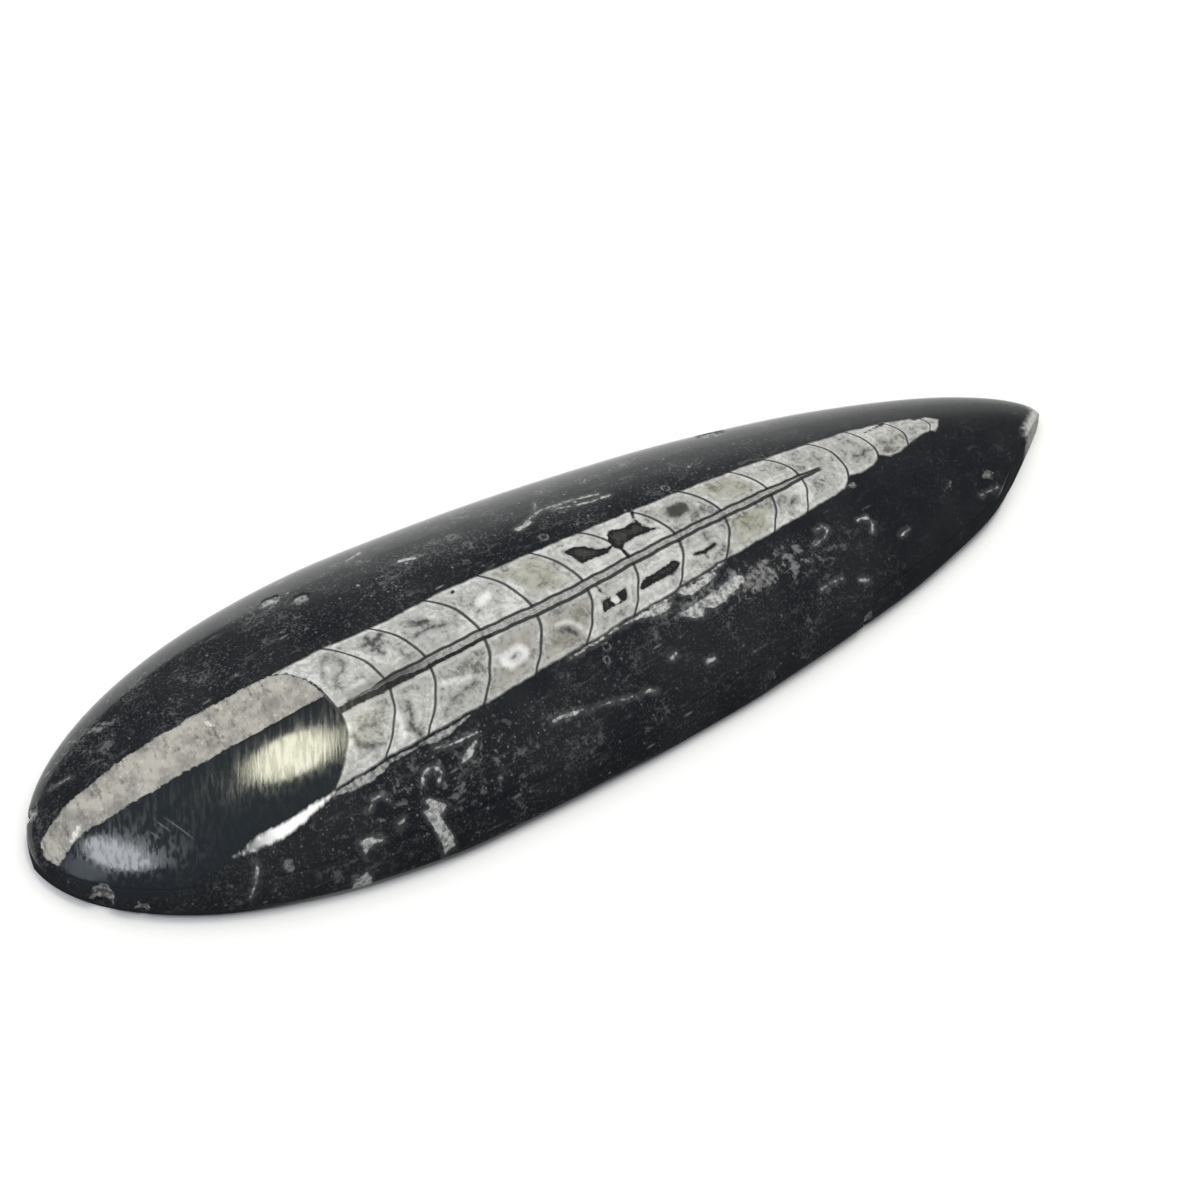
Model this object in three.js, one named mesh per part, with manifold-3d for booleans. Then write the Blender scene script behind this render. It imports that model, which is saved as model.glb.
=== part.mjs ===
// Polished orthoceras slab: one leaf-shaped piece of black fossil limestone. The underside is cut flat,
// a narrow upright edge is ground all round, and the top is one smooth polished dome. The straight shell
// shows in the dome's surface and is part of the same stone, so the slab is a single closed solid.
//
// Millimetres, +Z up. +X runs along the slab to its pointed end. The origin is on the flat underside,
// at the middle of the slab's length and width.
import * as THREE from "three";
import Module from "manifold-3d";
import { mergeVertices } from "three/addons/utils/BufferGeometryUtils.js";

// Outline, seen from above
const LENGTH = 151.4; // round end to pointed end
const WIDTH = 42.9; // at the widest place
const WIDEST_FROM_ROUND_END = 49.6;
const POINTED_END_EXPONENT = 0.605; // 0.5 is an ellipse, more is a sharper end
const ROUND_END_EXPONENT = 0.53;

// Height
const THICKNESS = 12.8; // underside to the crown of the dome
const EDGE_HEIGHT = 2.3; // upright ground edge below the dome
const DOME_EXPONENT = 0.6; // 0.5 is an ellipsoid, 1 is a parabola

// Flat ground along one side of the tip
const TIP_FLAT_PLACE = [70.6, -3.5, 0]; // a point on the flat, at the underside
const TIP_FLAT_HEADING = -56; // degrees from +X to the way the flat faces
const TIP_FLAT_LEAN = 14; // degrees that its upper edge leans back

// Mesh fineness
const STATIONS = 64; // along the length
const ACROSS = 22; // steps over the dome from edge to edge

// Half of the slab's width at a distance x along it. Both ends close to a point with a smooth curve.
function halfWidth(x) {
  const widest = WIDEST_FROM_ROUND_END - LENGTH / 2;
  const reach = x > widest ? LENGTH / 2 - widest : LENGTH / 2 + widest;
  const exponent = x > widest ? POINTED_END_EXPONENT : ROUND_END_EXPONENT;
  const along = Math.min(1, Math.abs(x - widest) / reach);
  return (WIDTH / 2) * Math.pow(1 - along * along, exponent);
}

// Height of the polished top over a point of the underside. The dome falls to the edge height at the outline.
function topHeight(x, y) {
  const inside = Math.max(0, halfWidth(x) ** 2 - y * y) / (WIDTH / 2) ** 2;
  return EDGE_HEIGHT + (THICKNESS - EDGE_HEIGHT) * Math.pow(inside, DOME_EXPONENT);
}

// The slab as rings of points, one ring at each station along its length. A ring goes from the underside up
// one edge, over the dome and down the other edge, and the flat underside closes it.
function slabGeometry() {
  const positions = [];
  for (let station = 0; station <= STATIONS; station += 1) {
    const x = (-Math.cos((Math.PI * station) / STATIONS) * LENGTH) / 2;
    const half = halfWidth(x);
    positions.push(x, half, 0);
    for (let step = 0; step <= ACROSS; step += 1) {
      const y = half * Math.cos((Math.PI * step) / ACROSS);
      positions.push(x, y, topHeight(x, y));
    }
    positions.push(x, -half, 0);
  }

  const ring = ACROSS + 3;
  const triangles = [];
  for (let station = 0; station < STATIONS; station += 1) {
    for (let step = 0; step < ring; step += 1) {
      const here = station * ring + step;
      const beside = station * ring + ((step + 1) % ring);
      triangles.push(here, beside, here + ring);
      triangles.push(beside, beside + ring, here + ring);
    }
  }

  const geometry = new THREE.BufferGeometry();
  geometry.setAttribute("position", new THREE.Float32BufferAttribute(positions, 3));
  geometry.setIndex(triangles);
  return mergeVertices(geometry);
}

// Each ring of an end station closes to a line, which leaves triangles with no area. They are dropped.
function withoutFlatTriangles(geometry) {
  const corners = geometry.index.array;
  const kept = [];
  for (let i = 0; i < corners.length; i += 3) {
    const [a, b, c] = corners.slice(i, i + 3);
    if (a !== b && b !== c && c !== a) kept.push(a, b, c);
  }
  geometry.setIndex(kept);
  return geometry;
}

// A block whose face lies on the tip flat, with its bulk outside the slab.
function tipCutter() {
  const block = 30;
  const cutter = new THREE.BoxGeometry(block, block, block);
  cutter.deleteAttribute("normal");
  cutter.deleteAttribute("uv");
  cutter.translate(block / 2, 0, 0);
  cutter.rotateY(THREE.MathUtils.degToRad(-TIP_FLAT_LEAN));
  cutter.rotateZ(THREE.MathUtils.degToRad(TIP_FLAT_HEADING));
  cutter.translate(...TIP_FLAT_PLACE);
  return mergeVertices(cutter);
}

const wasm = await Module();
wasm.setup();

function toSolid(geometry) {
  return new wasm.Manifold(
    new wasm.Mesh({
      numProp: 3,
      vertProperties: new Float32Array(geometry.attributes.position.array),
      triVerts: new Uint32Array(geometry.index.array),
    }),
  );
}

function toGeometry(solid) {
  const mesh = solid.getMesh();
  const geometry = new THREE.BufferGeometry();
  geometry.setAttribute("position", new THREE.BufferAttribute(mesh.vertProperties, 3));
  geometry.setIndex(new THREE.BufferAttribute(mesh.triVerts, 1));
  geometry.computeVertexNormals();
  return geometry;
}

// Moves a geometry sideways so that its bounding box is centred over the origin.
function centreOverOrigin(geometry) {
  geometry.computeBoundingBox();
  const centre = geometry.boundingBox.getCenter(new THREE.Vector3());
  return geometry.translate(-centre.x, -centre.y, 0);
}

const blackLimestone = new THREE.MeshStandardMaterial({ color: 0x25272b, roughness: 0.16, metalness: 0 });

const rough = toSolid(withoutFlatTriangles(slabGeometry()));
const ground = rough.subtract(toSolid(tipCutter()));

const slab = new THREE.Mesh(centreOverOrigin(toGeometry(ground)), blackLimestone);
slab.name = "orthoceras_slab";

const part = new THREE.Group();
part.name = "orthoceras_fossil";
part.add(slab);

export default part;
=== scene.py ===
"""The looks of one polished orthoceras slab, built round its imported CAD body.

The slab is one dense mesh: the CAD shape with its chips, its rounded lower edge and its blunt nose. Each
vertex stores how far it lies, in millimetres, from the shell's walls, its septa, its siphuncle and the scraps
round it, and nodes turn these distances into calcite, dark sutures and black limestone. Two materials use the
same nodes: one for the polished dome, and a less shiny one for the faces that are only ground.

Lengths here are millimetres in the frame of the part: +X to the pointed end, +Y across, +Z up.
"""

import math
from types import SimpleNamespace

import bpy
import numpy as np
from mathutils import Matrix, Vector, noise


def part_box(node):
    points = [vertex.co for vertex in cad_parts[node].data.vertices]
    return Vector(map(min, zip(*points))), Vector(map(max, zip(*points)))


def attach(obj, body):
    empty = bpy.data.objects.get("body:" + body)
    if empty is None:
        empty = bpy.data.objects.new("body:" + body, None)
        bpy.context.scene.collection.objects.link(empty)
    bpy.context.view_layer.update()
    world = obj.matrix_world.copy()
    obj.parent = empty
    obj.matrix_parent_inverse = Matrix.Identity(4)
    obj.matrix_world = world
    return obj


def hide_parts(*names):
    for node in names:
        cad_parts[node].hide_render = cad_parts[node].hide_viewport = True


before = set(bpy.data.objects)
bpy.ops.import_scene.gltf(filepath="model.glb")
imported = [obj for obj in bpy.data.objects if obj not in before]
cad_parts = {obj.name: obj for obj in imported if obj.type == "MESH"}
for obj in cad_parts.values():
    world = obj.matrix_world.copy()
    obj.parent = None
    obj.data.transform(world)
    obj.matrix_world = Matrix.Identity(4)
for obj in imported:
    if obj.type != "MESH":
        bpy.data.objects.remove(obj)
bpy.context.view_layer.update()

NODE = "orthoceras_slab"
MM = 0.001

# The slab's shape: the same rules as the CAD solid, inside its box
BOX_LOW, BOX_HIGH = (np.array(corner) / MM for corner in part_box(NODE))
LENGTH, WIDTH, THICKNESS = BOX_HIGH - BOX_LOW
MIDDLE_X = (BOX_LOW[0] + BOX_HIGH[0]) / 2
WIDEST_SHARE = 0.3276  # of the length, counted from the round end
WIDEST_X = MIDDLE_X + (WIDEST_SHARE - 0.5) * LENGTH
POINTED_END_EXPONENT = 0.605
ROUND_END_EXPONENT = 0.53
EDGE_HEIGHT = 2.3
DOME_EXPONENT = 0.6
# The flat beside the tip, and the blunt nose: a point on each, its heading and its lean back, in radians
TIP_FLATS = [
    ((70.6, -3.5, 0), math.radians(-56), math.radians(14)),
    ((75.85, 0, 0), 0.2, 0.2),
]
TIP_ROUNDING = 0.5  # how softly the dome turns into them
UNDERSIDE_ROUNDING = 0.8
UNDERSIDE_TUCK = 0.85  # share of that rounding that the edge's own rows cover
EDGE_FALL = 0.95  # share of the edge's height that its rows cover
FOOT = 1.7  # height of the strip along the foot of the edge, painted black, and grey as painted light on its round-end half
STEEP = 0.68  # where the dome is left matte: how far its normal still points up
DOME_WAVE = 0.028  # size of the waves in the hand-ground dome
OUTLINE_WAVE = 0.06  # and of those in its outline

# Zones of the surface
DOME, EDGE, UNDERSIDE = 0, 1, 2

# Fineness of the mesh
COLUMNS = 505
TOP_ROWS = 172
EDGE_ROWS = 5
UNDERSIDE_ROWS = 10

# The chambered part of the shell: its outline, anticlockwise from the last septum's lower end
PHRAGMOCONE = [
    (-43.9, -11.3), (-36, -10.6), (-30, -10.3), (-25, -9.9), (-20, -9.6), (-15, -8.9), (-10, -8.3),
    (-5, -7.9), (0, -7.1), (5, -6.6), (10, -5.8), (15, -5), (20, -4.5), (25, -3.8), (30, -3.1), (35, -2.3),
    (37.8, -1.8), (39.2, -0.9), (40.1, -0.1), (41.5, -0.4), (44.2, 0), (45.3, 0.6), (46, 1.3), (47.4, 0.5),
    (49.4, 0.6), (51.1, 1.2), (53.4, 2), (55.9, 2.2), (56.4, 1.8), (57.5, 2.5), (58.6, 3.7), (57.1, 4.8),
    (55.1, 4.8), (54.7, 5.4), (51, 6.1), (45, 6.7), (35, 6.9), (20, 6.8), (10, 6.6), (0, 6.4), (-10, 6.2),
    (-20, 6), (-25, 5.4), (-30, 5.1), (-36, 5.3), (-43, 4.95), (-41.2, 4), (-39.7, 2.4), (-39.1, 0.6),
    (-39, -1), (-38.6, -3), (-38.5, -4.7), (-38.9, -6), (-39.8, -7.4), (-41, -9), (-42.5, -10.4),
]
# Its lower and upper walls and the two edges of the siphuncle, as y over x
LOWER_WALL = [(-44, -11.3), (-25, -9.9), (-5, -7.9), (15, -5.1), (35, -2.3), (47, 0.3), (59, 3.3)]
UPPER_WALL = [(-44, 5.2), (-28, 5.1), (-8, 6.2), (20, 6.9), (36, 6.9), (50, 6.3), (59, 4.1)]
SIPHUNCLE_TOP = [
    (-44, -3), (-38.6, -2.8), (-35, -2.4), (-32, -2), (-26, -1.6), (-20, -1.2), (-5, -0.6), (5, 0.3),
    (15, 1.2), (28, 2.2), (37, 2.5),
]
SIPHUNCLE_LOW = [
    (-44, -3.35), (-31, -3.1), (-26, -2.85), (-20, -2.4), (-5, -1.9), (5, -0.8), (15, 0.2), (28, 1.2),
    (37, 2.3),
]
SIPHUNCLE_END = 36.8
# Past its end, the line between the upper and the lower chambers: from there to the apex, x and then y
AXIS_PAST_END = [SIPHUNCLE_END, 59], [2.4, 3.5]

# Septa: where each crosses the siphuncle, the last-grown one first, and how far its ends sweep back
SEPTA = [-38.6, -31.6, -25.8, -17.8, -10.2, -2.4, 5, 12.4, 20.1, 28, 33.4, 40.4, 46.2, 51.9, 56.7]
SWEEP_ABOVE = [(-40, 4.4), (-18, 3), (0, 3.7), (20, 3.1), (40, 2.4), (58, 0.8)]
SWEEP_BELOW = [(-40, 4.9), (0, 4), (20, 3.6), (34, 2.4), (41, 1), (58, 0.6)]

CHAMBER_LENGTH = 7.0  # along the shell, on average
# What fills each chamber, from the last-grown one on, above and below the siphuncle
FILLS_ABOVE = "white pale white white stained white white dull stained pale dull dull dull dull dull".split()
FILLS_BELOW = "dull pale dull beige beige dull white dull green pale pale dull dull pale dull".split()
# Brightness, and how brown and how green each sort of filling is, all from 0 to 1
FILLS = {
    "white": (0.66, 0, 0),
    "pale": (0.56, 0.12, 0),
    "dull": (0.38, 0.2, 0),
    "beige": (0.2, 0.85, 0),
    "stained": (0.56, 0.2, 0.6),
    "green": (0.28, 0.1, 0.9),
}


def curve(points):
    """A smooth function through a few points, made of cubic pieces."""
    xs, ys = np.array(points, float).T
    slopes = np.gradient(ys, xs)

    def at(x):
        x = np.clip(x, xs[0], xs[-1])
        i = np.clip(np.searchsorted(xs, x, side="right") - 1, 0, len(xs) - 2)
        step = xs[i + 1] - xs[i]
        t = (x - xs[i]) / step
        start = (1 + 2 * t) * (1 - t) ** 2 * ys[i] + t * (1 - t) ** 2 * step * slopes[i]
        end = t * t * (3 - 2 * t) * ys[i + 1] - t * t * (1 - t) * step * slopes[i + 1]
        return start + end

    return at


def smooth_step(start, end, value):
    """0 at start, 1 at end and smooth between them. Start may be the larger."""
    t = np.clip((value - start) / (end - start), 0, 1)
    return t * t * (3 - 2 * t)


def to_segment(x, y, start, end):
    """Distance from points to a segment."""
    ax, ay = start
    bx, by = end[0] - ax, end[1] - ay
    share = np.clip(((x - ax) * bx + (y - ay) * by) / (bx * bx + by * by), 0, 1)
    return np.hypot(x - ax - share * bx, y - ay - share * by)


def to_line(x, y, points):
    """Distance from points to a line of several segments."""
    return np.min([to_segment(x, y, a, b) for a, b in zip(points, points[1:])], axis=0)


# ---- the slab's mesh


def half_width(x):
    """Half of the slab's width at a distance along it."""
    reach = np.where(x > WIDEST_X, BOX_HIGH[0] - WIDEST_X, WIDEST_X - BOX_LOW[0])
    exponent = np.where(x > WIDEST_X, POINTED_END_EXPONENT, ROUND_END_EXPONENT)
    along = np.minimum(1, np.abs(x - WIDEST_X) / reach)
    return WIDTH / 2 * (1 - along * along) ** exponent


def top_height(x, y):
    """Height of the polished dome over a point of the underside."""
    inside = np.maximum(0, half_width(x) ** 2 - y * y) / (WIDTH / 2) ** 2
    return EDGE_HEIGHT + (THICKNESS - EDGE_HEIGHT) * inside**DOME_EXPONENT


def eased(count, power, last_step):
    """Numbers from -1 to 1 with even steps, except near both ends, where they shrink to that share."""
    v = np.linspace(-1, 1, count + 1)
    excess = (1 - last_step) / (power - 1)
    return (1 + excess) * v - excess * v**power


def slab_grid():
    """Rings of points round the slab, one per column: over the top, down one edge, under, and up again."""
    x = MIDDLE_X + LENGTH / 2 * eased(COLUMNS, power=9, last_step=0.08)
    half = half_width(x)[:, None]
    inset = np.minimum(UNDERSIDE_ROUNDING, half)
    across = -eased(TOP_ROWS, power=5, last_step=0.15)[None, :]
    top_y = half * across
    top_z = top_height(x[:, None], top_y)

    drop = np.linspace(0, 1, EDGE_ROWS + 1)[None, 1:]
    edge_z = np.broadcast_to(EDGE_HEIGHT * (1 - EDGE_FALL * drop), (len(x), EDGE_ROWS))
    right_y = inset * UNDERSIDE_TUCK * drop**3 - half
    under_y = (half - inset) * np.linspace(-1, 1, UNDERSIDE_ROWS + 1)[None, :]

    y = np.concatenate([top_y, right_y, under_y, -right_y[:, ::-1]], axis=1)
    z = np.concatenate([top_z, edge_z, np.zeros_like(under_y), edge_z[:, ::-1]], axis=1)
    x = np.broadcast_to(x[:, None], y.shape)
    rows = [TOP_ROWS + 1, EDGE_ROWS, UNDERSIDE_ROWS + 1, EDGE_ROWS]
    zone = np.repeat([DOME, EDGE, UNDERSIDE, EDGE], rows)
    return np.stack([x, y, z], axis=-1), np.broadcast_to(zone, y.shape)


def grid_triangles(columns, ring):
    """Triangles between neighbouring rings, closed round each ring, facing out."""
    column, step = np.meshgrid(np.arange(columns), np.arange(ring), indexing="ij")
    here = column * ring + step
    beside = column * ring + (step + 1) % ring
    first = np.stack([here, beside, here + ring], axis=-1)
    second = np.stack([beside, beside + ring, here + ring], axis=-1)
    return np.concatenate([first.reshape(-1, 3), second.reshape(-1, 3)])


def welded(points, triangles):
    """The same surface with each place held once, without the triangles that close to a line."""
    _, kept, number = np.unique(np.round(points * 1e4), axis=0, return_index=True, return_inverse=True)
    triangles = number.reshape(-1)[triangles]
    a, b, c = triangles.T
    return kept, triangles[(a != b) & (b != c) & (c != a)]


CHIP_RAGGEDNESS = 0.35  # how much noise changes a chip's outline and depth
# Broken places: centre, size along and across the edge, and depth
CHIPS = [
    ((29.3, 15.4), (2.2, 1), 0.6),
    ((-71.5, -8.2), (1.6, 1.2), 0.8),
    ((-68.2, -11.6), (1.2, 1), 0.45),
    ((-64.6, -14.3), (1.8, 0.7), 0.35),
    ((-36.4, 16), (1.5, 0.7), 0.3),
    ((-33.6, 14), (1.2, 0.6), 0.2),
    ((33.2, -16.8), (0.9, 0.7), 0.4),
    ((-52, 19.2), (1, 0.6), 0.2),
    ((-73.8, 5), (0.9, 1.1), 0.3),
]


def rough_noise(points, size, seed):
    """Noise from about -1 to 1 at each point, with features of that size."""
    shift = Vector((seed * 7.3, seed * 3.1, seed * 5.7))
    return np.array([noise.fractal(Vector(p) / size + shift, 0.8, 2.0, 4) for p in points])


def chip_depths(points):
    """How deep the surface is broken away at each point."""
    x, y, z = points.T
    depth = np.zeros(len(points))
    for number, (centre, size, deepest) in enumerate(CHIPS):
        slope = half_width(centre[0] + 0.5) - half_width(centre[0] - 0.5)
        turn = math.atan(slope) * math.copysign(1, centre[1])
        along = (x - centre[0]) * math.cos(turn) + (y - centre[1]) * math.sin(turn)
        over = (y - centre[1]) * math.cos(turn) - (x - centre[0]) * math.sin(turn)
        reach = np.hypot(along / size[0], over / size[1])
        near = (reach < 1.6) & (z > 0.2)
        ragged = rough_noise(points[near], 0.9, number + 1)
        bite = smooth_step(1.0, 0.55, reach[near] + CHIP_RAGGEDNESS * ragged)
        depth[near] = np.maximum(depth[near], deepest * bite * (1 + CHIP_RAGGEDNESS * ragged))
    return depth


def surface_normals(points, triangles):
    """The way that the surface faces at each point, from the triangles round it."""
    normals = np.zeros_like(points)
    a, b, c = (points[triangles[:, i]] for i in range(3))
    face = np.cross(b - a, c - a)
    for i in range(3):
        np.add.at(normals, triangles[:, i], face)
    return normals / np.maximum(np.linalg.norm(normals, axis=1, keepdims=True), 1e-12)


def ground_tip(points):
    """Points outside the flats at the tip, brought back onto them, and how far outside each one was."""
    outside = np.full(len(points), -np.inf)
    for place, heading, lean in TIP_FLATS:
        level = np.array([math.cos(heading), math.sin(heading), 0])
        facing = level * math.cos(lean) + np.array([0, 0, math.sin(lean)])
        beyond = (points - np.array(place)) @ facing
        pushed = (beyond + np.hypot(beyond, TIP_ROUNDING)) / 2
        points = points - pushed[:, None] / math.cos(lean) * level
        outside = np.maximum(outside, beyond)
    return points, outside


def waves(x, y, z):
    """How uneven the hand-ground dome is, along its normal, and how uneven its outline is, sideways."""
    upper = smooth_step(0.5, 4.0, z)
    over_dome = np.sin(x / 7.1 + 1.0) * np.cos(y / 5.3 + x / 31) + 0.6 * np.sin(x / 3.9 - y / 4.7)
    along_edge = np.sin(x / 5.7) + 0.6 * np.sin(x / 2.3 + 2)
    swell = DOME_WAVE * upper * over_dome
    outline = OUTLINE_WAVE * (1 - upper) * along_edge * np.sign(y)
    return swell, outline * np.minimum(1, np.abs(y) / 3)


def slab_points():
    """Places and triangles, and for each place its zone, how matte it is, how deep it is broken away and how
    far outside the flats at the tip it was."""
    grid, zone = slab_grid()
    triangles = grid_triangles(grid.shape[0] - 1, grid.shape[1])
    points, zone = grid.reshape(-1, 3), zone.reshape(-1)
    kept, triangles = welded(points, triangles)
    points, zone = points[kept], zone[kept]

    normals = surface_normals(points, triangles)
    points, beyond = ground_tip(points)
    chips = chip_depths(points)
    x, y, z = points.T
    swell, outline = waves(x, y, z)
    # The lip of the dome on the near side, below the place where it gets steep
    lip = (zone == DOME) * smooth_step(STEEP + 0.03, STEEP - 0.03, normals[:, 2]) * smooth_step(0.0, -3.0, y)
    matte = np.where(zone == EDGE, 1.0, lip)

    points = points + normals * (swell - chips)[:, None]
    above_floor = zone < UNDERSIDE
    points[above_floor, 1] += outline[above_floor]
    points[:, 2] = np.maximum(points[:, 2], 0)
    return points, triangles, zone, matte, chips, beyond


# ---- the fossil, as distances


# The body chamber: a band of calcite on its upper side, the black mud that filled the rest, and the last
# sliver of its lower wall, a pale shell wall painted brighter with a glare highlight
BAND = [
    (-74.9, -0.8), (-74, -2.8), (-72.8, -2.1), (-71.4, -1.5), (-65, -1.4), (-55, -1.2), (-47.5, -1.2),
    (-44, -0.9), (-39.1, -0.7), (-39.2, 0.6), (-39.8, 2.4), (-41.3, 4), (-43.2, 4.95), (-45, 4.9),
    (-50, 4.8), (-58, 4.5), (-62, 4.2), (-66, 3.6), (-70, 2.9), (-73, 1.8), (-74.6, 0.8),
]
MUD = [
    (-74.2, -2.9), (-71.4, -1.5), (-55, -1.2), (-39.2, -0.8), (-38.4, -3.4), (-38.7, -5.6), (-41, -9),
    (-43.8, -11.3), (-50, -12.6), (-57, -12.5), (-64, -12.2), (-70, -9.6), (-73, -6.2),
]
CRESCENT = [
    (-57.2, -12.3), (-54, -11.8), (-49, -11.8), (-43.4, -11.3), (-45.2, -11.9), (-48, -12.7), (-51.5, -13.1),
    (-54.8, -12.8),
]
OUTER_WALL = [
    (-44, -11.6), (-40, -11.2), (-36, -10.95), (-30, -10.65), (-24.5, -10.2), (-27, -10.9),
    (-29.5, -11.4), (-32, -11), (-36, -11.3), (-38.5, -12), (-41, -12.2), (-43, -11.9),
]

# Dark fillings in the middle of chambers: outlines, then lines with their half thickness
BLACK_CORES = [
    [(-2.2, 4.5), (-1.4, 3.1), (-1, 1.9), (0.8, 2.05), (3, 1.9), (4.2, 2.6), (3.1, 2.7), (1.8, 3.2),
     (0.8, 4.2), (-0.4, 4.6)],
    [(4.1, 2.2), (5, 1.6), (5.6, 2.3), (7.3, 2.7), (9, 2.6), (11.4, 2.5), (10.2, 2.9), (9.4, 3.7),
     (9.3, 4.6), (8.5, 4.8), (7.2, 4.5), (5.5, 4.9), (4.5, 4.6), (4.1, 3.6)],
    [(-2.3, -5.3), (-1.9, -3.9), (-0.6, -3.8), (0.8, -3.5), (2.1, -3.3), (1.5, -4.8), (0.3, -4.9),
     (-0.8, -5.1)],
    [(3.7, -4.5), (4.1, -3.7), (5.2, -3.2), (7, -2.9), (8.6, -2.7), (9.9, -2.4), (10.8, -3),
     (10.2, -3.6), (8.6, -4), (6.6, -4.1), (5.2, -4.4)],
]
# A round spot left white inside one of them
DOT_PLACE, DOT_RADIUS = (-0.1, -4.25), 0.62
BLACK_LINES = [
    ([(9.2, 4.6), (9.1, 5.4), (9.6, 6.4)], 0.16),
    ([(4.9, 2), (4.8, 1), (4.9, 0.3)], 0.18),
    ([(-1.1, -1.8), (-1.1, -2.8), (-0.6, -3.7)], 0.08),
    ([(12.9, -2.6), (14.4, -2.85), (16.5, -2.45)], 0.2),
    ([(14.2, -2.9), (14.4, -3.8)], 0.1),
    ([(46.8, 5.5), (49, 5.7), (50.3, 5.9)], 0.05),
    ([(49.9, 5.8), (50.5, 5.9)], 0.2),
    ([(-50.5, -1.3), (-47.5, -1.4), (-44, -1.1), (-39.3, -1)], 0.2),
    ([(-38.8, -3.15), (-35.4, -3.1), (-32, -2.95), (-28.6, -2.9)], 0.42),
    ([(-28.6, -2.9), (-24, -2.68), (-17, -2.25)], 0.2),
    ([(-18, 5.2), (-17.6, 5.3)], 0.22),
]
# Streaks and clouds in the calcite, and one painted shadow at the siphuncle's mouth. A half thickness below 0
# makes a fainter line.
GREY_MARKS = [
    ([(14.4, 4), (15.8, 4.15)], 0.92),
    ([(8.8, -4.2), (9.8, -3.9)], 0.2),
    ([(-31.3, 3.4), (-30.2, 3), (-28.9, 3.7)], 0.28),
    ([(-30.7, 3.9), (-30.3, 2.4), (-30.1, 1.2)], 0.28),
    ([(-30.9, 2.1), (-29.4, 2.3)], 0.16),
    ([(-24.6, 3.4), (-24, 3.1), (-22.9, 2.8)], 0.38),
    ([(-25.2, 1.6), (-23.4, 1.9), (-21.4, 1.5)], 0.12),
    ([(15.9, -0.8), (16.1, -2.4)], 0.1),
    ([(-16, -5.9), (-15.3, -5.8)], 0.1),
    ([(-35.4, 3.7), (-34.9, 2.4), (-35.3, 1.2), (-36.6, 0.8)], -0.04),
    # Painted shadow above the thick lower wall of the siphuncle, at its open mouth
    ([(-36.6, -2.4), (-33, -2.1)], 0.3),
    ([(-37.3, -6.2), (-36.4, -6.3), (-35.5, -6.7)], 0.2),
    ([(-38.5, -6.6), (-38.3, -7.8), (-37, -8.7)], 0.3),
    ([(-30.7, -5.9), (-31, -7.2), (-31.7, -8.6), (-31.2, -9.9)], 0.2),
    ([(-31.6, -6.4), (-30.9, -6.8)], 0.16),
    ([(-25.6, -7.7), (-23.6, -7.4), (-22, -6.7)], 0.07),
    ([(-8.6, -5.2), (-7.6, -5.6), (-7.2, -6.4)], 0.3),
    ([(-37.8, 1.6), (-37.2, 3.2), (-36, 3.9)], -0.04),
    ([(42.6, 2.4), (43.8, 2), (44.6, 2.6)], 0.1),
    ([(47.9, 3.2), (49.2, 2.4)], 0.1),
    ([(29.6, -1), (30.8, -0.4)], 0.1),
]
WHITE_MARKS = [
    ([(-0.2, -4.35), (0, -4.3)], 0.42),
    ([(-16.7, -6.1), (-14.8, -5.7)], 1),
    ([(-25.9, -5.3), (-24.2, -5.9), (-22, -6.1)], 0.14),
    ([(-8.8, -4.4), (-7, -4.6), (-6.2, -5.8)], 0.14),
    ([(-15.6, 2.4), (-14.2, 3)], 0.5),
    # A painted glint of glare at the tip of the band
    ([(-72, -1.9), (-71.2, -0.8), (-70.4, -0.5)], 0.12),
    ([(-39.3, -7.2), (-38.6, -5.4)], 0.25),
    ([(-33, -9), (-32.4, -6.2)], 0.2),
    # A painted glint of glare on the band
    ([(-52.4, 2.9), (-52.2, 2.5)], 0.12),
]

# Pale pieces of shell in the black stone: outlines, then lines with their half thickness
SCRAPS = [
    [(0.6, -7.4), (2.6, -7.9), (4.8, -8.3), (6.4, -7.4), (5.4, -7), (3.5, -7.2)],
    [(6.6, -9), (7.6, -9.6), (8.7, -10.3), (9.9, -10.2), (10.3, -9.3), (11.3, -9.9), (13.9, -9.4),
     (17, -8.4), (17.4, -7.5), (16, -7.3), (13.1, -8), (9.5, -8.6)],
    [(8.2, -6.5), (10.5, -6.3), (13.8, -5.7), (14.2, -6.1), (12, -6.9), (9.6, -7.4), (8.6, -7.1)],
    [(-34.6, -17.3), (-33.5, -21.1), (-32, -20.9), (-33.2, -17.4)],
    [(-43.2, -17), (-42.8, -18.4), (-42.2, -17.8), (-40.4, -18), (-41.6, -17.3)],
    [(-45, -19.7), (-43.9, -20.6), (-42.6, -20.4), (-43.2, -19.6)],
    [(-34.2, -16.6), (-33, -18), (-31.6, -17.9), (-32.4, -17.3), (-33.6, -16.4)],
    [(-28.2, -14.6), (-26.6, -13.4), (-25.2, -13), (-26.4, -14.2)],
]
DULL_SCRAPS = [
    [(17, -8.9), (17.6, -10.3), (18.9, -9.7), (20.2, -9.9), (21.4, -9.2), (22.2, -8.4), (21, -7.5),
     (22.6, -6.7), (20.4, -6.9), (19, -6.8), (17.6, -7.6)],
    [(38.2, -1.4), (38.8, -2), (40, -1.7), (39.6, -1.1)],
    [(-64.2, 10.4), (-62.6, 9.4), (-59.8, 9.8), (-62.2, 10.8)],
    [(-34.6, 13.2), (-33.6, 12.7), (-32.6, 13.6), (-33.8, 14.4)],
    [(58.6, -6.2), (60, -7), (60.9, -6.2), (59.6, -5.4)],
    [(51.8, -6.4), (53, -6.3), (53.6, -5.5), (52.6, -5.8)],
    [(-52.4, -15.9), (-51.2, -16.2), (-51, -15.4), (-52, -15.2)],
]
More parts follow.
